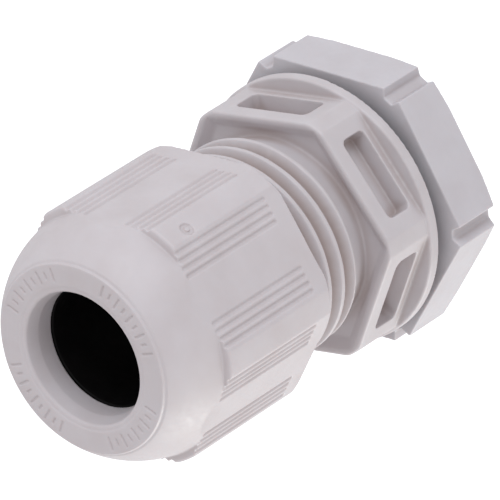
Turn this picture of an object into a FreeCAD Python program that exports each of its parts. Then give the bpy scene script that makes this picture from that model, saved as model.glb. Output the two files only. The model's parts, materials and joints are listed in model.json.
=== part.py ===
import FreeCAD, Part
import math
import os
import Sketcher

# A plastic cable gland for an M16 x 1.5 hole, with the axis along Y.
# The origin is on the axis, in the plane of the flange's seat: the thread goes through a wall towards +Y,
# and the cable comes in through the cap's mouth at -Y. Angles about the axis are measured from +Z towards +X.

DRIVING_SIZES = {
    # cap nut, with its depths measured from its front face
    "cap_front_distance": 29.2,
    "cap_length": 16.6,
    "cap_across_flats": 19.0,
    "cap_corner_radius": 10.45,
    "cap_turn": -6.5,
    "ring_radius": 7.62,
    "ring_edge": 0.08,
    "ring_height": 0.25,
    "ring_ledge": 0.18,
    "dome_radius": 9.75,
    "dome_depth": 4.35,
    "dome_arc": 8.5,
    "shoulder_slope": 0.1,
    "shoulder_edge": 0.15,
    "rim_chamfer": 0.35,
    "land_radius": 5.8,
    "land_depth": 0.08,
    "mouth_radius": 5.31,
    "mouth_edge": 0.1,
    "funnel_radius": 5.0,
    "funnel_depth": 1.2,
    "throat_radius": 4.95,
    "front_wall": 2.65,
    "cone_front_radius": 6.3,
    "cone_rear_radius": 7.3,
    "cone_end_depth": 8.55,
    "groove_count": 4,
    "groove_width": 0.5,
    "groove_depth": 0.2,
    "groove_pitch": 0.62,
    "groove_first_offset": 1.95,
    "groove_front_depth": 4.3,
    "groove_rear_depth": 14.95,
    "mark_rows": 4,
    "mark_count": 9,
    "mark_spacing": 6.2,
    "mark_turn": 42.0,
    "mark_width": 0.22,
    "long_mark_length": 1.15,
    "short_mark_length": 0.65,
    "mark_depth": 0.12,
    "moulding_mark_distance": 6.85,
    "moulding_mark_turn": 1.9,
    "moulding_mark_radius": 0.55,
    "moulding_mark_stub": 0.2,
    "moulding_mark_depth": 0.16,
    # the thread between cap and body
    "cap_thread_radius": 8.65,
    "cap_thread_root": 7.7,
    "cap_thread_pitch": 1.6,
    "cap_thread_crest": 0.36,
    "cap_thread_valley": 0.36,
    "cap_thread_end_distance": 6.5,
    "cap_thread_lead": 0.7,
    # gland body, with its distances measured from the seat
    "flange_radius": 10.85,
    "flange_thick": 1.0,
    "collar_across_flats": 19.0,
    "collar_corner_radius": 10.6,
    "collar_turn": -12.0,
    "collar_front_distance": 5.6,
    "collar_edge": 0.15,
    "flange_edge": 0.2,
    "dish_floor_flats": 16.3,
    "dish_depth": 0.6,
    "dish_slope": 55.0,
    "pocket_length": 6.8,
    "pocket_width": 2.5,
    "pocket_depth": 1.5,
    "pocket_distance": 2.9,
    "pocket_corner": 0.5,
    "pocket_taper": 3.0,
    "spigot_end_distance": 15.7,
    "body_bore_radius": 5.6,
    "seal_seat_radius": 6.2,
    "seal_seat_depth": 1.4,
    "seal_seat_cone": 0.6,
    "bore_chamfer": 0.4,
    # the entry thread
    "entry_radius": 8.0,
    "entry_root": 7.1,
    "entry_pitch": 1.5,
    "entry_crest": 0.25,
    "entry_valley": 0.35,
    "entry_length": 8.0,
    "entry_relief": 1.3,
    "entry_relief_slope": 0.4,
    "entry_lead": 0.8,
    "entry_thread_start": 0.7,
    # clearances of both threads
    "thread_clearance": 0.1,
    # sealing insert
    "seal_bore_radius": 4.9,
    "seal_bore_chamfer": 0.1,
    "seal_head_depth": 7.5,
    "seal_head_edge": 0.2,
    "seal_wall": 0.55,
    "seal_tail_length": 0.6,
    "seal_gap": 0.1,
    "seal_side_gap": 0.15,
    "seal_cone_gap": 0.4,
    # clamping fingers
    "finger_total": 14,
    "finger_sector": 19.5,
    "finger_inner_radius": 6.25,
    "finger_stem": 0.7,
    "finger_nose": 1.3,
    "finger_nose_length": 0.5,
    "finger_ramp_length": 0.8,
    "finger_tip_chamfer": 0.25,
    "finger_tip_slope": 0.45,
    "finger_inner_edge": 0.15,
    "finger_notch_distance": 0.35,
    "finger_notch_depth": 0.25,
    "finger_notch_floor": 0.3,
    "finger_length": 5.35,
    "finger_gap": 0.06,
    "finger_rest_bend": 5.6,
    # flange gasket
    "gasket_inner_radius": 8.15,
    "gasket_outer_radius": 9.9,
    "gasket_thick": 0.6,
    "gasket_gap": 0.03,
    "gasket_edge": 0.15,
    # locknut
    "nut_across_flats": 21.4,
    "nut_turn": -3.6,
    "nut_thick": 4.65,
    "nut_gap": 1.25,
    "nut_face_radius": 10.95,
    "nut_chamfer": 0.8,
    "nut_bore_chamfer": 1.0,
    "nut_groove_floor": 0.75,
    "nut_groove_radius": 11.15,
}

# How far the outline of a cut runs past the solid that it cuts, in millimetres.
OVERCUT = 1.0
# A thread's groove starts this far outside its crest or inside its bore, so that it leaves no skin.
THREAD_OVERCUT = 0.5
# Two points this close are the same, in millimetres.
SAME_POINT = 1e-6
# The smallest change of volume that counts as a cut or an addition, in cubic millimetres.
SMALLEST_CHANGE = 1e-3
HEXAGON_SIDES = 6
# Degrees about the axis from the middle of a hexagon's flat to its corner.
FLAT_TO_CORNER = 30

doc = FreeCAD.newDocument("cable_gland")


class Size:
    """A length that knows both its value and the spreadsheet expression it comes from."""

    def __init__(self, value, text):
        self.value = value
        self.text = text

    @staticmethod
    def of(other):
        return other if isinstance(other, Size) else Size(float(other), repr(float(other)))

    def join(self, sign, other, value):
        return Size(value, f"({self.text} {sign} {other.text})")

    def __add__(self, other):
        other = Size.of(other)
        return self.join("+", other, self.value + other.value)

    def __sub__(self, other):
        other = Size.of(other)
        return self.join("-", other, self.value - other.value)

    def __mul__(self, factor):
        factor = Size.of(factor)
        return self.join("*", factor, self.value * factor.value)

    def __neg__(self):
        return Size(-self.value, f"(-1 * {self.text})")


def make_sheet():
    sheet = doc.addObject("Spreadsheet::Sheet", "Sizes")
    for row, (alias, value) in enumerate(DRIVING_SIZES.items(), start=1):
        sheet.set(f"A{row}", alias)
        sheet.set(f"B{row}", str(value))
        sheet.setAlias(f"B{row}", alias)
    doc.recompute()
    return sheet


sheet = make_sheet()


def size(alias):
    return Size(float(sheet.get(alias)), f"{sheet.Name}.{alias}")


def origin_plane(body, role):
    return next(f for f in body.Origin.OriginFeatures if f.Role == role)


def new_body(label):
    body = doc.addObject("PartDesign::Body", label)
    body.Label = label
    return body


def new_sketch(body, name, role="XY_Plane"):
    sketch = body.newObject("Sketcher::SketchObject", name)
    sketch.AttachmentSupport = [(origin_plane(body, role), "")]
    sketch.MapMode = "FlatFace"
    return sketch


def bind(sketch, constraint, distance):
    index = sketch.addConstraint(constraint)
    sketch.renameConstraint(index, f"size_{index}")
    sketch.setExpression(f"Constraints.size_{index}", distance.text)


def arc_between(start, end, radius, bulge_left):
    """The middle point of the shorter arc of this radius from start to end."""
    chord = end - start
    half = chord.Length / 2
    rise = radius - math.sqrt(max(radius * radius - half * half, 0.0))
    side = FreeCAD.Vector(-chord.y, chord.x, 0).normalize()
    return (start + end) * 0.5 + side * (rise if bulge_left else -rise)


def outline(sketch, steps):
    """A closed outline. Each step is (x, y), or (x, y, radius, bulge_left) for a point reached by an arc."""
    points = [FreeCAD.Vector(Size.of(s[0]).value, Size.of(s[1]).value, 0) for s in steps]
    edges = []
    for i, step in enumerate(steps):
        start, end = points[i - 1], points[i]
        if len(step) == 4:
            middle = arc_between(start, end, step[2].value, step[3])
            edges.append(sketch.addGeometry(Part.Arc(start, middle, end)))
        else:
            edges.append(sketch.addGeometry(Part.LineSegment(start, end)))
    ends = []
    for i, edge in enumerate(edges):
        near_start = (sketch.getPoint(edge, 1) - points[i - 1]).Length < SAME_POINT
        ends.append((1, 2) if near_start else (2, 1))
    for i, edge in enumerate(edges):
        follower = (i + 1) % len(edges)
        joined = (edge, ends[i][1], edges[follower], ends[follower][0])
        sketch.addConstraint(Sketcher.Constraint("Coincident", *joined))
    for i, step in enumerate(steps):
        x, y = Size.of(step[0]), Size.of(step[1])
        corner = (edges[i], ends[i][1])
        bind(sketch, Sketcher.Constraint("DistanceX", -1, 1, *corner, x.value), x)
        bind(sketch, Sketcher.Constraint("DistanceY", -1, 1, *corner, y.value), y)
        if len(step) == 4:
            bind(sketch, Sketcher.Constraint("Radius", edges[i], step[2].value), step[2])


def check_change(body, before, grows, name):
    """Compares volumes: a feature that points away from its solid changes nothing and raises no error."""
    doc.recompute()
    change = body.Shape.Volume - before
    if (change > 0) != grows or abs(change) < SMALLEST_CHANGE:
        raise RuntimeError(f"{body.Label}: {name} changed the volume by {change:.4f} mm3")


def spin(body, name, kind, steps):
    """A Revolution or Groove about the Y axis, of an outline in radius and distance along the axis."""
    before = body.Shape.Volume if body.Tip else 0.0
    sketch = new_sketch(body, f"{name}_outline")
    outline(sketch, steps)
    feature = body.newObject(f"PartDesign::{kind}", name)
    feature.Profile = sketch
    feature.ReferenceAxis = (sketch, ["V_Axis"])
    feature.Angle = 360
    check_change(body, before, kind == "Revolution", name)
    return feature


def across(body, name, kind, outlines, start, end, turn=None):
    """A Pad or Pocket between two distances along the axis. An outline's x is X and its y is Z."""
    before = body.Shape.Volume if body.Tip else 0.0
    sketch = new_sketch(body, f"{name}_outline", "XZ_Plane")
    sketch.setExpression("AttachmentOffset.Base.z", (-end).text)
    if turn is not None:
        sketch.setExpression("AttachmentOffset.Rotation.Angle", (-turn).text)
    for steps in outlines:
        outline(sketch, steps)
    feature = body.newObject(f"PartDesign::{kind}", name)
    feature.Profile = sketch
    feature.Reversed = kind == "Pocket"
    feature.setExpression("Length", (end - start).text)
    check_change(body, before, kind == "Pad", name)
    return feature


def repeat_round(body, name, feature, count):
    """The feature repeated round the Y axis."""
    before = body.Shape.Volume
    pattern = body.newObject("PartDesign::PolarPattern", name)
    pattern.Originals = [feature]
    pattern.Axis = (origin_plane(body, "Y_Axis"), [""])
    pattern.Angle = 360
    pattern.Occurrences = count
    body.Tip = pattern
    check_change(body, before, False, name)
    return pattern


def cut_thread(body, name, steps, pitch, length):
    """A right-handed helical groove about the Y axis, from an outline in radius and distance along it."""
    before = body.Shape.Volume
    sketch = new_sketch(body, f"{name}_outline")
    outline(sketch, steps)
    feature = body.newObject("PartDesign::SubtractiveHelix", name)
    feature.Profile = sketch
    feature.ReferenceAxis = (sketch, ["V_Axis"])
    feature.Mode = "pitch-height-angle"
    feature.setExpression("Pitch", pitch.text)
    feature.setExpression("Height", length.text)
    feature.LeftHanded = False
    check_change(body, before, False, name)
    return feature


def hexagon(across_flats):
    """A regular hexagon with flats towards +y and -y of its sketch."""
    apothem = across_flats * 0.5
    corner = across_flats * (1 / math.sqrt(3))
    half = corner * 0.5
    return [
        (corner, Size.of(0)),
        (half, apothem),
        (-half, apothem),
        (-corner, Size.of(0)),
        (-half, -apothem),
        (half, -apothem),
    ]


def rectangle(x_low, x_high, y_low, y_high):
    return [(x_low, y_low), (x_high, y_low), (x_high, y_high), (x_low, y_high)]


def rounded_rectangle(x_low, x_high, y_low, y_high, corner):
    return [
        (x_high - corner, y_low),
        (x_high, y_low + corner, corner, False),
        (x_high, y_high - corner),
        (x_high - corner, y_high, corner, False),
        (x_low + corner, y_high),
        (x_low, y_high - corner, corner, False),
        (x_low, y_low + corner),
        (x_low + corner, y_low, corner, False),
    ]


def circle(x, y, radius):
    """A circle as four quarter arcs."""
    return [
        (x, y + radius, radius, False),
        (x - radius, y, radius, False),
        (x, y - radius, radius, False),
        (x + radius, y, radius, False),
    ]


def stand_off(sketch, distance, turn):
    """Moves a sketch of the XY plane out to a distance from the axis and turns it round the axis."""
    sketch.setExpression("AttachmentOffset.Base.x", f"{distance.text} * sin({turn.text} * 1 deg)")
    sketch.setExpression("AttachmentOffset.Base.z", f"{distance.text} * cos({turn.text} * 1 deg)")
    quarter_turn = FreeCAD.Rotation(FreeCAD.Vector(0, 1, 0), 90)
    sketch.AttachmentOffset = FreeCAD.Placement(FreeCAD.Vector(0, 0, 0), quarter_turn)
    sketch.setExpression("AttachmentOffset.Rotation.Angle", turn.text)


def external_valley(crest_radius, root_radius, pitch, crest, valley, first):
    """The groove between two ridges of a thread cut into a cylinder, centred at the distance first."""
    half_mouth = (pitch - crest) * 0.5
    half_floor = valley * 0.5
    return [
        (crest_radius + THREAD_OVERCUT, first - half_mouth),
        (crest_radius, first - half_mouth),
        (root_radius, first - half_floor),
        (root_radius, first + half_floor),
        (crest_radius, first + half_mouth),
        (crest_radius + THREAD_OVERCUT, first + half_mouth),
    ]


def internal_valley(crest_radius, root_radius, pitch, crest, valley, bore_radius, first):
    """The groove of the matching nut thread: the ridge of the external thread, larger by the clearance."""
    clearance = size("thread_clearance")
    side_clearance = clearance * 0.6
    half_crest = crest * 0.5 + side_clearance
    half_root = (pitch - valley) * 0.5 + side_clearance
    inside = bore_radius - THREAD_OVERCUT
    return [
        (crest_radius + clearance, first - half_crest),
        (root_radius + clearance, first - half_root),
        (inside, first - half_root),
        (inside, first + half_root),
        (root_radius + clearance, first + half_root),
        (crest_radius + clearance, first + half_crest),
    ]


# ---- the cap nut ----
def make_cap_nut():
    body = new_body("cap_nut")
    front = -size("cap_front_distance")
    rear = front + size("cap_length")
    across(body, "hexagon", "Pad", [hexagon(size("cap_across_flats"))], front, rear, size("cap_turn"))
    shape_cap_outside(body, front, rear)
    hollow_cap(body, front, rear)
    cut_grip_grooves(body, front)
    cut_ring_marks(body, front)
    cut_moulding_mark(body, front)
    return body


def shape_cap_outside(body, front, rear):
    """Turns the hexagon down to the dome, the raised front ring and the cylinder that cuts its corners."""
    outside = size("cap_across_flats")
    corner = size("cap_corner_radius")
    dome_end = front + size("dome_depth")
    ring = size("ring_radius")
    ring_edge = size("ring_edge")
    ring_foot = front + size("ring_height")
    chamfer = size("rim_chamfer")
    shoulder_edge = size("shoulder_edge")
    spin(body, "dome", "Groove", [
        (outside, front - OVERCUT),
        (ring - ring_edge, front - OVERCUT),
        (ring - ring_edge, front),
        (ring, front + ring_edge, ring_edge, False),
        (ring, ring_foot),
        (ring + size("ring_ledge"), ring_foot),
        (size("dome_radius"), dome_end, size("dome_arc"), False),
        (corner - shoulder_edge, dome_end + size("shoulder_slope")),
        (corner, dome_end + size("shoulder_slope") + shoulder_edge),
        (corner, rear - chamfer),
        (corner - chamfer, rear),
        (corner - chamfer, rear + OVERCUT),
        (outside, rear + OVERCUT),
    ])


def hollow_cap(body, front, rear):
    """The stepped mouth, the funnel, the cone that bends the fingers and the threaded bore."""
    bore = size("cap_thread_root") + size("thread_clearance") * 2
    thread_major = size("cap_thread_radius") + size("thread_clearance")
    throat = size("throat_radius")
    mouth = size("mouth_radius")
    edge = size("mouth_edge")
    land = front + size("land_depth")
    cone_end = front + size("cone_end_depth")
    pitch = size("cap_thread_pitch")
    first = thread_phase(cone_end + pitch * 0.4, pitch)
    spin(body, "hollow", "Groove", [
        (Size.of(0), front - OVERCUT),
        (size("land_radius"), front - OVERCUT),
        (size("land_radius"), land),
        (mouth + edge, land),
        (mouth, land + edge, edge, False),
        (size("funnel_radius"), front + size("funnel_depth")),
        (throat, front + size("front_wall")),
        (size("cone_front_radius"), front + size("front_wall")),
        (size("cone_rear_radius"), cone_end),
        (thread_major, cone_end),
        (thread_major, first + pitch * 0.45),
        (bore, first + pitch * 0.6),
        (bore, rear - size("cap_thread_lead")),
        (thread_major, rear),
        (thread_major, rear + OVERCUT),
        (Size.of(0), rear + OVERCUT),
    ])
    valley = internal_valley(
        size("cap_thread_radius"), size("cap_thread_root"), pitch,
        size("cap_thread_crest"), size("cap_thread_valley"), bore, first)
    cut_thread(body, "thread", valley, pitch, rear - first + OVERCUT)


def thread_phase(near, pitch):
    """The ridge centre of the cap thread that comes next after this distance along the axis."""
    ridge = -size("cap_thread_end_distance") - pitch * 0.5
    turns = math.floor((ridge.value - near.value) / pitch.value)
    return ridge - pitch * turns


def cut_grip_grooves(body, front):
    """Two groups of fine grooves on each flat, either side of its smooth middle."""
    apothem = size("cap_across_flats") * 0.5
    half_width = size("groove_width") * 0.5
    outlines = []
    for side in (-1, 1):
        for i in range(int(size("groove_count").value)):
            middle = (size("groove_first_offset") + size("groove_pitch") * i) * side
            outlines.append([
                (middle - half_width, apothem + OVERCUT),
                (middle - half_width, apothem),
                (middle, apothem - size("groove_depth")),
                (middle + half_width, apothem),
                (middle + half_width, apothem + OVERCUT),
            ])
    grooves = across(body, "grip_grooves", "Pocket", outlines, front + size("groove_front_depth"),
                     front + size("groove_rear_depth"), size("cap_turn"))
    repeat_round(body, "all_grip_grooves", grooves, HEXAGON_SIDES)


def cut_ring_marks(body, front):
    """Rows of short radial strokes on the front ring, every second one longer."""
    outlines = []
    middle = (size("ring_radius") + size("land_radius")) * 0.5
    spacing = size("mark_spacing").value
    half_width = size("mark_width") * 0.5
    total = int(size("mark_count").value)
    for i in range(total):
        half_length = size("long_mark_length" if i % 2 == 0 else "short_mark_length") * 0.5
        angle = math.radians(spacing * (i - (total - 1) / 2) + size("mark_turn").value)
        corners = [(-half_width, middle - half_length), (half_width, middle - half_length),
                   (half_width, middle + half_length), (-half_width, middle + half_length)]
        outlines.append([turned_point(x, y, angle) for x, y in corners])
    marks = across(body, "ring_marks", "Pocket", outlines, front - OVERCUT, front + size("mark_depth"))
    repeat_round(body, "all_ring_marks", marks, int(size("mark_rows").value))


def turned_point(x, y, angle):
    """The point (x, y) turned from the sketch's +y towards its +x."""
    return (x * math.cos(angle) + y * math.sin(angle), y * math.cos(angle) - x * math.sin(angle))


def cut_moulding_mark(body, front):
    """The small round dimple with a stub in it that the injection point leaves on one smooth corner."""
    before = body.Shape.Volume
    sketch = new_sketch(body, "moulding_mark_outline")
    turn = size("cap_turn") + FLAT_TO_CORNER + size("moulding_mark_turn")
    stand_off(sketch, size("cap_corner_radius"), turn)
    distance = front + size("moulding_mark_distance")
    for radius in ("moulding_mark_radius", "moulding_mark_stub"):
        outline(sketch, circle(Size.of(0), distance, size(radius)))
    pocket = body.newObject("PartDesign::Pocket", "moulding_mark")
    pocket.Profile = sketch
    pocket.setExpression("Length", size("moulding_mark_depth").text)
    check_change(body, before, False, "moulding_mark")


# ---- the gland body ----
def make_gland_body():
    body = new_body("gland_body")
    turn_stud_and_collar(body)
    cut_collar_flats(body)
    cut_collar_dish(body)
    cut_pockets(body)
    turn_spigot(body)
    pitch = size("cap_thread_pitch")
    spigot_length = size("spigot_end_distance") - size("cap_thread_end_distance")
    run = pitch * math.ceil(spigot_length.value / pitch.value)
    valley = external_valley(
        size("cap_thread_radius"), size("cap_thread_root"), pitch,
        size("cap_thread_crest"), size("cap_thread_valley"), -size("cap_thread_end_distance") - run)
    cut_thread(body, "cap_thread", valley, pitch, run)
    pitch = size("entry_pitch")
    valley = external_valley(
        size("entry_radius"), size("entry_root"), pitch,
        size("entry_crest"), size("entry_valley"), size("entry_thread_start"))
    cut_thread(body, "entry_thread", valley, pitch, size("entry_length"))
    return body


def turn_stud_and_collar(body):
    """The round outline of the entry stud, the flange and the collar's blank, with the bore through them."""
    collar_front = -size("collar_front_distance")
    flange_front = -size("flange_thick")
    flange = size("flange_radius")
    flange_edge = size("flange_edge")
    entry = size("entry_radius")
    entry_root = size("entry_root")
    entry_lead = size("entry_lead")
    tail = size("entry_length")
    relief = size("entry_relief")
    bore = size("body_bore_radius")
    bore_chamfer = size("bore_chamfer")
    corner = size("collar_corner_radius")
    collar_edge = size("collar_edge")
    spin(body, "stud_and_collar", "Revolution", [
        (bore, tail - bore_chamfer),
        (bore, collar_front),
        (corner - collar_edge, collar_front),
        (corner, collar_front + collar_edge),
        (corner, flange_front),
        (flange - flange_edge, flange_front),
        (flange, flange_front + flange_edge, flange_edge, False),
        (flange, -flange_edge),
        (flange - flange_edge, Size.of(0), flange_edge, False),
        (entry_root, Size.of(0)),
        (entry_root, relief - size("entry_relief_slope")),
        (entry, relief),
        (entry, tail - entry_lead),
        (entry - entry_lead, tail),
        (bore + bore_chamfer, tail),
    ])


def turn_spigot(body):
    """The tube in front of the collar, with the seal's seat in its end and the blank of the cap's thread."""
    spigot_end = -size("spigot_end_distance")
    foot = -size("flange_thick")
    pitch = size("cap_thread_pitch")
    thread_end = -size("cap_thread_end_distance") - pitch * 0.35
    thread = size("cap_thread_radius")
    thread_root = size("cap_thread_root")
    bore = size("body_bore_radius")
    seat = size("seal_seat_radius")
    seat_end = spigot_end + size("seal_seat_depth")
    spin(body, "spigot", "Revolution", [
        (bore, foot),
        (bore, seat_end + size("seal_seat_cone")),
        (seat, seat_end),
        (seat, spigot_end),
        (thread_root, spigot_end),
        (thread, spigot_end + size("cap_thread_lead")),
        (thread, thread_end - pitch * 0.2),
        (thread_root, thread_end),
        (thread_root, foot),
    ])


def cut_collar_flats(body):
    """Cuts the hexagon into the round collar, leaving the flange behind it round."""
    flats = hexagon(size("collar_across_flats"))
    reach = size("flange_radius") + OVERCUT
    around = rectangle(-reach, reach, -reach, reach)
    across(body, "collar_flats", "Pocket", [around, flats], -size("collar_front_distance") - OVERCUT,
           -size("flange_thick"), size("collar_turn"))


def cut_collar_dish(body):
    """A shallow dish in the collar's front. Its six sides slope down from a narrow rim to a flat floor."""
    front = -size("collar_front_distance")
    dish = across(body, "collar_dish", "Pocket", [hexagon(size("dish_floor_flats"))], front,
                  front + size("dish_depth"), size("collar_turn"))
    before = body.Shape.Volume
    dish.setExpression("TaperAngle", size("dish_slope").text)
    check_change(body, before, False, "collar_dish_slope")


def cut_pockets(body):
    """One blind pocket with rounded corners in each flat of the collar."""
    before = body.Shape.Volume
    half_length = size("pocket_length") * 0.5
    half_width = size("pocket_width") * 0.5
    middle = -size("pocket_distance")
    sketch = new_sketch(body, "flat_pocket_outline")
    stand_off(sketch, size("collar_across_flats") * 0.5, size("collar_turn"))
    outline(sketch, rounded_rectangle(-half_length, half_length, middle - half_width, middle + half_width,
                                      size("pocket_corner")))
    pocket = body.newObject("PartDesign::Pocket", "flat_pocket")
    pocket.Profile = sketch
    pocket.setExpression("Length", size("pocket_depth").text)
    pocket.setExpression("TaperAngle", (-size("pocket_taper")).text)
    check_change(body, before, False, "flat_pocket")
    repeat_round(body, "flat_pockets", pocket, HEXAGON_SIDES)


# ---- the sealing insert ----
def make_sealing_insert():
    body = new_body("sealing_insert")
    front = -size("cap_front_distance") + size("front_wall") + size("seal_gap")
    head_end = -size("cap_front_distance") + size("seal_head_depth")
    rear = -size("spigot_end_distance") + size("seal_seat_depth") - size("seal_gap")
    bore = size("seal_bore_radius")
    chamfer = size("seal_bore_chamfer")
    head = size("cone_rear_radius") - size("seal_cone_gap")
    edge = size("seal_head_edge")
    tail = size("seal_seat_radius") - size("seal_side_gap")
    spin(body, "bush", "Revolution", [
        (bore, front + chamfer),
        (bore + chamfer, front),
        (size("cone_front_radius") - edge, front),
        (head, head_end - edge),
        (head - edge, head_end),
        (bore + size("seal_wall"), head_end),
        (tail, -size("spigot_end_distance") - size("seal_tail_length")),
        (tail, rear),
        (bore, rear),
    ])
    return body


# ---- the clamping fingers ----
def make_finger(number):
    """A curved finger with a thick nose and a notched root, drawn straight at the top and then placed."""
    label = f"clamping_finger_{number:02d}"
    body = new_body(label)
    inner = size("finger_inner_radius")
    stem = inner + size("finger_stem")
    nose = inner + size("finger_nose")
    root = -size("spigot_end_distance") - size("finger_gap")
    tip = root - size("finger_length")
    notch = root - size("finger_notch_distance")
    notch_depth = size("finger_notch_depth")
    notch_end = notch - size("finger_notch_floor") - notch_depth * 2
    nose_end = tip + size("finger_nose_length")
    edge = size("finger_inner_edge")
    sketch = new_sketch(body, f"{label}_outline", "YZ_Plane")
    outline(sketch, [
        (root, inner),
        (root, stem),
        (notch, stem),
        (notch - notch_depth, stem - notch_depth),
        (notch_end + notch_depth, stem - notch_depth),
        (notch_end, stem),
        (nose_end + size("finger_ramp_length"), stem),
        (nose_end, nose),
        (tip + size("finger_tip_chamfer"), nose),
        (tip, nose - size("finger_tip_slope")),
        (tip, inner + edge),
        (tip + edge, inner),
    ])
    feature = body.newObject("PartDesign::Revolution", f"{label}_sector")
    feature.Profile = sketch
    feature.ReferenceAxis = (sketch, ["H_Axis"])
    feature.Midplane = True
    feature.setExpression("Angle", size("finger_sector").text)
    check_change(body, 0.0, True, "sector")
    body.Placement = finger_placement(number, root.value, inner.value)
    return body


def finger_placement(number, root, inner):
    """Bends the finger inwards about its root's inner edge, then turns it to its place round the axis."""
    bend = FreeCAD.Rotation(FreeCAD.Vector(1, 0, 0), size("finger_rest_bend").value)
    hinge = FreeCAD.Vector(0, root, inner)
    bent = FreeCAD.Placement(hinge - bend.multVec(hinge), bend)
    angle = 360.0 / size("finger_total").value * (number - 1)
    turned = FreeCAD.Placement(FreeCAD.Vector(0, 0, 0), FreeCAD.Rotation(FreeCAD.Vector(0, 1, 0), angle))
    return turned.multiply(bent)


# ---- the flange gasket ----
def make_flange_gasket():
    body = new_body("flange_gasket")
    inner = size("gasket_inner_radius")
    outer = size("gasket_outer_radius")
    edge = size("gasket_edge")
    front = size("gasket_gap")
    rear = front + size("gasket_thick")
    spin(body, "washer", "Revolution", [
        (inner, front),
        (outer - edge, front),
        (outer, front + edge),
        (outer, rear - edge),
        (outer - edge, rear),
        (inner, rear),
    ])
    return body


# ---- the locknut ----
def make_locknut():
    body = new_body("locknut")
    front = size("nut_gap")
    rear = front + size("nut_thick")
    flats = size("nut_across_flats")
    bore = size("entry_root") + size("thread_clearance")
    across(body, "nut_hexagon", "Pad", [hexagon(flats)], front, rear, size("nut_turn"))
    chamfer = size("nut_bore_chamfer")
    spin(body, "nut_bore", "Groove", [
        (Size.of(0), front - OVERCUT),
        (bore + chamfer, front - OVERCUT),
        (bore + chamfer, front),
        (bore, front + chamfer),
        (bore, rear - chamfer),
        (bore + chamfer, rear),
        (bore + chamfer, rear + OVERCUT),
        (Size.of(0), rear + OVERCUT),
    ])
    corner = flats * (1 / math.sqrt(3)) + OVERCUT
    face = size("nut_face_radius")
    slope_end = rear - size("nut_chamfer")
    spin(body, "rear_chamfer", "Groove", [
        (face, rear),
        (corner, slope_end),
        (corner, rear + OVERCUT),
        (face, rear + OVERCUT),
    ])
    cut_corner_grooves(body, front, rear)
    pitch = size("entry_pitch")
    first = size("entry_thread_start") - pitch * 0.5
    valley = internal_valley(
        size("entry_radius"), size("entry_root"), pitch,
        size("entry_crest"), size("entry_valley"), bore, first)
    cut_thread(body, "nut_thread", valley, pitch, rear - first + OVERCUT)
    return body


def cut_corner_grooves(body, front, rear):
    """A groove down each corner of the nut, with each side square to the flat next to it."""
    half_floor = size("nut_groove_floor") * 0.5
    floor = size("nut_groove_radius")
    mouth = size("nut_across_flats") * (1 / math.sqrt(3)) + OVERCUT
    half_mouth = half_floor + (mouth - floor) * math.tan(math.radians(FLAT_TO_CORNER))
    outlines = [[
        (mouth, -half_mouth),
        (mouth, half_mouth),
        (floor, half_floor),
        (floor, -half_floor),
    ]]
    groove = across(body, "corner_groove", "Pocket", outlines, front - OVERCUT, rear + OVERCUT,
                    size("nut_turn"))
    repeat_round(body, "corner_grooves", groove, HEXAGON_SIDES)


def check_document():
    for item in doc.Objects:
        if "Invalid" in item.State or "Error" in item.State:
            raise RuntimeError(f"{item.Name} failed: {item.State}")


def write_parts(bodies):
    os.makedirs("parts", exist_ok=True)
    for body in bodies:
        shape = body.Shape
        if shape.isNull() or not shape.isValid() or len(shape.Solids) != 1:
            raise RuntimeError(f"{body.Label} is not one valid solid")
        shape.exportStep(f"parts/{body.Label}.step")
        print(f"{body.Label}: {shape.Volume:.1f} mm3")


sub_parts = [make_gland_body(), make_cap_nut(), make_sealing_insert()]
for finger_number in range(1, int(size("finger_total").value) + 1):
    sub_parts.append(make_finger(finger_number))
sub_parts += [make_flange_gasket(), make_locknut()]
doc.recompute()
check_document()
write_parts(sub_parts)
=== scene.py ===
import json
import math

import bpy
import numpy as np
from mathutils import Matrix, Vector


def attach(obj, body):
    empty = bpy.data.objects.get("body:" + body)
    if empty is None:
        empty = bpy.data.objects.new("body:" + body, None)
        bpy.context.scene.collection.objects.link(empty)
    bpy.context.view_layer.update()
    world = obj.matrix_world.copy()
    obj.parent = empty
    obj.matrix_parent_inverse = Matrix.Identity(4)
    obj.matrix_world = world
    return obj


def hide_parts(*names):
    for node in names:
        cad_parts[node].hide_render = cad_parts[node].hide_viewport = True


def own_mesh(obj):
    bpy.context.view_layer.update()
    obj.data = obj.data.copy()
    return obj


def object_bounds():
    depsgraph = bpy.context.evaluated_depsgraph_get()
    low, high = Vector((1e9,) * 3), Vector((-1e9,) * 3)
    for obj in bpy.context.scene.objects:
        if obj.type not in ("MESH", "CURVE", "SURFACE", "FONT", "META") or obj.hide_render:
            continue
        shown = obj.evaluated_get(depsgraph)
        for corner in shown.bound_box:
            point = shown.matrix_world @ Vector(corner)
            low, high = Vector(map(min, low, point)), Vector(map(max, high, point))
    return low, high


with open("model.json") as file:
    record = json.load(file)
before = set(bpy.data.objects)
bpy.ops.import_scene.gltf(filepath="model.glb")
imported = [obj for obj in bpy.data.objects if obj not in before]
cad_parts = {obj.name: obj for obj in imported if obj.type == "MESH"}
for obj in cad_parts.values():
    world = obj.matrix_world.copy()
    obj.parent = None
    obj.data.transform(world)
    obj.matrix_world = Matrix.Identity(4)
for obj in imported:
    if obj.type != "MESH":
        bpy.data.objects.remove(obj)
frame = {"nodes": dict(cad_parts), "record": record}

CAD_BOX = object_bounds()
MM = 0.001

# The camera looks at a point on the gland's axis, from the front right and above, through a long lens.
CAMERA_AZIMUTH = math.radians(37.77)
CAMERA_ELEVATION = math.radians(29.49)
CAMERA_DISTANCE = 0.5589
CAMERA_TARGET = Vector((-0.10, -8.99, 0.11)) * MM
CAMERA_LENS = 538.8
CAMERA_SENSOR = 36
CAMERA_REACH = 10
FLOOR_DROP = 25 * MM
FLOOR_SIZE = 4

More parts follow.
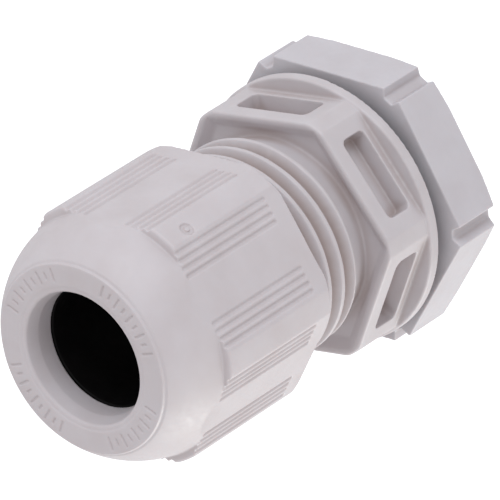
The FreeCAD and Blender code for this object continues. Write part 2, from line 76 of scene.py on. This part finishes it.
# The sky's colour and strength, and each soft light: where it is, its width, its power and its colour.
SKY_COLOUR = (0.98, 0.98, 1)
SKY_STRENGTH = 0.82
LIGHTS = {
    "top": ((0.04, -0.22, 0.58), 0.35, 1.35, (0.88, 0.94, 1)),
    "low_right": ((0.30, 0.05, -0.50), 0.35, 2.0, (0.97, 1, 0.96)),
}

# Each moulding: its CAD node, the body it rides on, its slot, the grid it is cast on in mm, how many times
# it is smoothed, and the share of its faces that is kept.
MOULDINGS = [
    ("gland_body", "gland_body", "body_plastic", 0.075, 6, 0.12),
    ("cap_nut", "cap_nut", "cap_plastic", 0.07, 5, 0.14),
    ("locknut", "locknut", "nut_plastic", 0.08, 6, 0.12),
    ("flange_gasket", "flange_gasket", "gasket_rubber", 0.06, 4, 0.12),
    ("sealing_insert", "sealing_insert", "seal_rubber", 0.07, 5, 0.12),
]
# The last three of these for every clamping finger.
FINGER_GRID = 0.05
FINGER_SMOOTHINGS = 3
FINGER_KEPT_SHARE = 0.2
# The share of each point's step that one smoothing takes.
SMOOTHING_STEP = 0.5
# The collar's front, in mm along the axis, with its rim, its dish and the neck's foot, comes out of the
# mould rounder than the rest.
COLLAR_FRONT = (-6.1, -4.9)
COLLAR_FRONT_SMOOTHINGS = 30
# How many times each triangle is cut in four before the casting, and how strongly each new point is held to
# its chord, against the pull of 1 of each surface beside it.
FINE_STEPS = 2
CREASE_SOFTNESS = 0.05
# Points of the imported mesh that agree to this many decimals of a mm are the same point.
MERGE_DECIMALS = 5
# The shortest length that is safe to divide by.
TINY = 1e-12

# Surfaces with others nearer than this are in creases, where painted shade makes the colour warmer and
# darker by this share of each channel.
CREASE_SHADE_REACH = 1.1 * MM
CREASE_SHADE_TINT = (0.72, 0.62, 0.56)
# How open the surface is at the bottom of creases, where the painted shade is full, and outside them, where
# it ends.
CREASE_SHADE_OPENNESS = (0.35, 0.9)
# The noise's output mostly lies between these.
NOISE_SPAN = (0.3, 0.7)
# How much brighter the bloom on rubber is.
BLOOM = 2.2

# Each finish: its clouds of colour, its patches of gloss and its grain, each as features per metre and
# detail, its range of roughness, and the strength and height of its grain.
POLYAMIDE = {
    "clouds": (330, 3),
    "patches": (2200, 2),
    "grain": (9000, 4),
    "roughness": (0.42, 0.56),
    "strength": 0.25,
    "height": 0.01 * MM,
}
RUBBER = {
    "clouds": (700, 4),
    "patches": (1500, 2),
    "grain": (6000, 3),
    "roughness": (0.5, 0.7),
    "strength": 0.3,
    "height": 0.015 * MM,
}
# How light spreads under the polyamide's skin: its share, how far each colour goes, and the scale of that.
SPREAD_SHARE = 0.15
SPREAD_RADIUS = (1.0, 0.7, 0.6)
SPREAD_SCALE = 0.5 * MM
RUBBER_SPECULAR = 0.12


# ---- pieces ----
def packed_surface(node):
    """A CAD node's points in mm, its triangles, and the surface's own normal at each of their corners."""
    mesh = frame["nodes"][node].data
    points = np.empty(len(mesh.vertices) * 3)
    mesh.vertices.foreach_get("co", points)
    corners = np.empty(len(mesh.loops), int)
    mesh.loops.foreach_get("vertex_index", corners)
    normals = np.empty(len(mesh.loops) * 3)
    mesh.corner_normals.foreach_get("vector", normals)
    rounded = np.round(points.reshape(-1, 3) / MM, MERGE_DECIMALS)
    points, merged = np.unique(rounded, axis=0, return_inverse=True)
    return points, merged.ravel()[corners].reshape(-1, 3), normals.reshape(-1, 3, 3)


def unit(vectors):
    """The same directions, one unit long."""
    return vectors / np.maximum(np.linalg.norm(vectors, axis=-1, keepdims=True), TINY)


def along(first, second):
    """The scalar product of each pair of vectors."""
    return (first * second).sum(axis=-1, keepdims=True)


def refined(points, triangles, normals):
    """Every triangle cut in four, with the new points moved off the chords and onto the curved surface."""
    ends = triangles[:, [1, 2, 0]]
    end_normals = normals[:, [1, 2, 0]]
    chords = points[ends] - points[triangles]
    # A cubic through two points, square to their normals, has an eighth of this difference at its middle.
    bulges = (end_normals * along(chords, end_normals) - normals * along(chords, normals)) / 8
    lean = 2 * along(chords, normals + end_normals) / np.maximum(along(chords, chords), TINY)
    bent = unit(normals + end_normals - lean * chords)

    pairs = np.sort(np.stack([triangles, ends], axis=-1).reshape(-1, 2), axis=1)
    edges, edge_of = np.unique(pairs, axis=0, return_inverse=True)
    edge_of = edge_of.ravel()
    sides = unit(normals + end_normals).reshape(-1, 3)
    heights = along(bulges.reshape(-1, 3), sides)
    pull = np.tile(np.eye(3) * CREASE_SOFTNESS, (len(edges), 1, 1))
    np.add.at(pull, edge_of, sides[:, :, None] * sides[:, None, :])
    wanted = np.zeros((len(edges), 3))
    np.add.at(wanted, edge_of, sides * heights)
    offsets = np.linalg.solve(pull, wanted[:, :, None])[:, :, 0]
    middles = points[edges].mean(axis=1) + offsets

    new = (edge_of + len(points)).reshape(-1, 3)
    old = triangles
    faces = [
        np.stack([old[:, 0], new[:, 0], new[:, 2]], axis=1),
        np.stack([new[:, 0], old[:, 1], new[:, 1]], axis=1),
        np.stack([new[:, 2], new[:, 1], old[:, 2]], axis=1),
        new,
    ]
    corner_normals = [
        np.stack([normals[:, 0], bent[:, 0], bent[:, 2]], axis=1),
        np.stack([bent[:, 0], normals[:, 1], bent[:, 1]], axis=1),
        np.stack([bent[:, 2], bent[:, 1], normals[:, 2]], axis=1),
        bent,
    ]
    return np.concatenate([points, middles]), np.concatenate(faces), np.concatenate(corner_normals)


def apply_modifiers(piece):
    """Gives the piece the mesh that its modifiers make, and takes them off."""
    graph = bpy.context.evaluated_depsgraph_get()
    mesh = bpy.data.meshes.new_from_object(piece.evaluated_get(graph))
    piece.modifiers.clear()
    piece.data = mesh


def soften(piece, times, group=""):
    """Smooths the whole piece, or only one group of its points."""
    smooth = piece.modifiers.new("soften", "SMOOTH")
    smooth.factor = SMOOTHING_STEP
    smooth.iterations = times
    smooth.vertex_group = group


def soften_collar_front(piece):
    start, end = COLLAR_FRONT
    points = [vertex.index for vertex in piece.data.vertices if start < vertex.co.y < end]
    piece.vertex_groups.new(name="collar_front").add(points, 1, "REPLACE")
    soften(piece, COLLAR_FRONT_SMOOTHINGS, "collar_front")


def moulded(node, body, slot, grid, smoothings, kept_share):
    """Stands for a CAD node, with its edges rounded as they come out of a mould."""
    surface = packed_surface(node)
    for _ in range(FINE_STEPS):
        surface = refined(*surface)
    mesh = bpy.data.meshes.new(f"{node}_moulded")
    mesh.from_pydata(surface[0].tolist(), [], surface[1].tolist())
    piece = bpy.data.objects.new(f"{node}_moulded", mesh)
    bpy.context.scene.collection.objects.link(piece)
    cast = piece.modifiers.new("cast", "REMESH")
    cast.mode = "VOXEL"
    cast.voxel_size = grid
    soften(piece, smoothings)
    apply_modifiers(piece)
    if node == "gland_body":
        soften_collar_front(piece)
    thin_out = piece.modifiers.new("thin_out", "DECIMATE")
    thin_out.ratio = kept_share
    apply_modifiers(piece)
    piece.data.transform(Matrix.Scale(MM, 4))
    piece.data.shade_smooth()
    piece.data.materials.append(MATERIALS[slot])
    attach(piece, body)
    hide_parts(node)
    return piece


def moulded_fingers():
    """Each finger rides on a body of its own."""
    for body, nodes in frame["record"]["behaviour"]["bodies"].items():
        if body.startswith("finger_"):
            moulded(nodes[0], body, "body_plastic", FINGER_GRID, FINGER_SMOOTHINGS, FINGER_KEPT_SHARE)


def squeeze(seal):
    """Gives the seal a mesh of its own; it is not shortened as the cap travels in."""
    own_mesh(seal)


# ---- materials ----
def new_material(name):
    material = bpy.data.materials.new(name)
    material.use_nodes = True
    return material, material.node_tree, material.node_tree.nodes["Principled BSDF"]


def noise(tree, features_per_metre, detail):
    """Noise in the piece's own coordinates."""
    place = tree.nodes.new("ShaderNodeTexCoord")
    texture = tree.nodes.new("ShaderNodeTexNoise")
    texture.inputs["Scale"].default_value = features_per_metre
    texture.inputs["Detail"].default_value = detail
    tree.links.new(place.outputs["Object"], texture.inputs["Vector"])
    return texture.outputs["Fac"]


def ranged(tree, value, low, high, span=NOISE_SPAN):
    """Turns a value between the span's ends into one between low and high."""
    node = tree.nodes.new("ShaderNodeMapRange")
    node.inputs["From Min"].default_value = span[0]
    node.inputs["From Max"].default_value = span[1]
    node.inputs["To Min"].default_value = low
    node.inputs["To Max"].default_value = high
    tree.links.new(value, node.inputs["Value"])
    return node.outputs["Result"]


def mixed(tree, factor, first, second):
    """A colour between two others, each a colour or another node's output."""
    node = tree.nodes.new("ShaderNodeMix")
    node.data_type = "RGBA"
    tree.links.new(factor, node.inputs["Factor"])
    for socket, colour in (("A", first), ("B", second)):
        place = next(s for s in node.inputs if s.name == socket and s.type == "RGBA")
        if isinstance(colour, tuple):
            place.default_value = (*colour, 1)
        else:
            tree.links.new(colour, place)
    return next(s for s in node.outputs if s.type == "RGBA")


def add_bump(tree, shader, height, strength, distance):
    bump = tree.nodes.new("ShaderNodeBump")
    bump.inputs["Strength"].default_value = strength
    bump.inputs["Distance"].default_value = distance
    tree.links.new(height, bump.inputs["Height"])
    tree.links.new(bump.outputs["Normal"], shader.inputs["Normal"])


def clouds_of(tree, finish):
    """How far each place is from the finish's first colour to its second, from 0 to 1."""
    return ranged(tree, noise(tree, *finish["clouds"]), 0, 1)


def add_skin(tree, shader, finish):
    """The patches of gloss and the fine grain of a moulded surface."""
    patches = noise(tree, *finish["patches"])
    tree.links.new(ranged(tree, patches, *finish["roughness"]), shader.inputs["Roughness"])
    add_bump(tree, shader, noise(tree, *finish["grain"]), finish["strength"], finish["height"])


def polyamide(name, pale, dull):
    """Light grey moulded polyamide: cloudy tone, spark-eroded skin, and painted shade, warmer and darker,
    in its creases.
    """
    material, tree, shader = new_material(name)
    skin = mixed(tree, clouds_of(tree, POLYAMIDE), pale, dull)
    # Painted shade: creases and gaps between nearby surfaces of the piece are painted warmer and darker.
    crease_shade = tree.nodes.new("ShaderNodeAmbientOcclusion")
    crease_shade.only_local = True
    crease_shade.inputs["Distance"].default_value = CREASE_SHADE_REACH
    warm_shade = tuple(channel * tint for channel, tint in zip(dull, CREASE_SHADE_TINT))
    unshaded_share = ranged(tree, crease_shade.outputs["AO"], 0, 1, CREASE_SHADE_OPENNESS)
    tree.links.new(mixed(tree, unshaded_share, warm_shade, skin), shader.inputs["Base Color"])
    shader.inputs["Subsurface Weight"].default_value = SPREAD_SHARE
    shader.inputs["Subsurface Radius"].default_value = SPREAD_RADIUS
    shader.inputs["Subsurface Scale"].default_value = SPREAD_SCALE
    add_skin(tree, shader, POLYAMIDE)
    return material


def rubber(name, colour):
    """Black moulded rubber with a faint, brighter bloom."""
    material, tree, shader = new_material(name)
    shader.inputs["Specular IOR Level"].default_value = RUBBER_SPECULAR
    bloom = tuple(channel * BLOOM for channel in colour)
    tree.links.new(mixed(tree, clouds_of(tree, RUBBER), colour, bloom), shader.inputs["Base Color"])
    add_skin(tree, shader, RUBBER)
    return material


MATERIALS = {
    "body_plastic": polyamide("polyamide_body", (0.56, 0.52, 0.535), (0.525, 0.48, 0.49)),
    "cap_plastic": polyamide("polyamide_cap", (0.57, 0.525, 0.54), (0.535, 0.485, 0.495)),
    "nut_plastic": polyamide("polyamide_nut", (0.56, 0.53, 0.555), (0.525, 0.49, 0.51)),
    "seal_rubber": rubber("seal_rubber_black", (0.0015, 0.0012, 0.0012)),
    "gasket_rubber": rubber("gasket_rubber_black", (0.02, 0.018, 0.018)),
}


# ---- camera and studio ----
def add_camera():
    """Azimuth 0 looks along +Y."""
    level = math.cos(CAMERA_ELEVATION)
    towards = Vector((
        math.sin(CAMERA_AZIMUTH) * level,
        -math.cos(CAMERA_AZIMUTH) * level,
        math.sin(CAMERA_ELEVATION),
    ))
    data = bpy.data.cameras.new("camera")
    data.lens = CAMERA_LENS
    data.sensor_width = CAMERA_SENSOR
    data.clip_end = CAMERA_REACH
    camera = bpy.data.objects.new("camera", data)
    camera.location = CAMERA_TARGET + towards * CAMERA_DISTANCE
    camera.rotation_euler = (-towards).to_track_quat("-Z", "Y").to_euler()
    bpy.context.scene.collection.objects.link(camera)
    bpy.context.scene.camera = camera


def area_light(name, place, size, power, colour):
    """A round soft light that faces the gland."""
    data = bpy.data.lights.new(name, "AREA")
    data.shape = "DISK"
    data.size = size
    data.energy = power
    data.color = colour
    light = bpy.data.objects.new(name, data)
    light.location = place
    light.rotation_euler = (CAMERA_TARGET - Vector(place)).to_track_quat("-Z", "Y").to_euler()
    bpy.context.scene.collection.objects.link(light)


def add_floor():
    low = CAD_BOX[0][2] - FLOOR_DROP
    bpy.ops.mesh.primitive_plane_add(size=FLOOR_SIZE, location=(0, 0, low))
    floor = bpy.context.object
    floor.name = "floor"
    material, _, shader = new_material("floor_white")
    shader.inputs["Base Color"].default_value = (0.9, 0.9, 0.9, 1)
    shader.inputs["Roughness"].default_value = 0.9
    shader.inputs["Specular IOR Level"].default_value = 0
    shader.inputs["Emission Color"].default_value = (1, 1, 1, 1)
    shader.inputs["Emission Strength"].default_value = 0.3
    floor.data.materials.append(material)
    # The floor is only a backdrop: what light comes from below is the low light's, not a bounce.
    floor.visible_diffuse = False
    floor.visible_glossy = False
    floor.visible_shadow = False


def add_studio():
    """A plain white floor and a white sky, with a soft light above and another low on the right."""
    add_floor()
    for name, light in LIGHTS.items():
        area_light(name, *light)
    world = bpy.data.worlds.new("studio")
    world.use_nodes = True
    sky = world.node_tree.nodes["Background"]
    sky.inputs["Color"].default_value = (*SKY_COLOUR, 1)
    sky.inputs["Strength"].default_value = SKY_STRENGTH
    bpy.context.scene.world = world
    bpy.context.scene.view_settings.view_transform = "Standard"


# ---- scene ----
add_camera()
pieces = {moulding[0]: moulded(*moulding) for moulding in MOULDINGS}
moulded_fingers()
squeeze(pieces["sealing_insert"])
for part in frame["record"]["subparts"]:
    node = frame["nodes"][part["node"]]
    for place in node.material_slots:
        place.material = MATERIALS[part["material_slot"]]
add_studio()
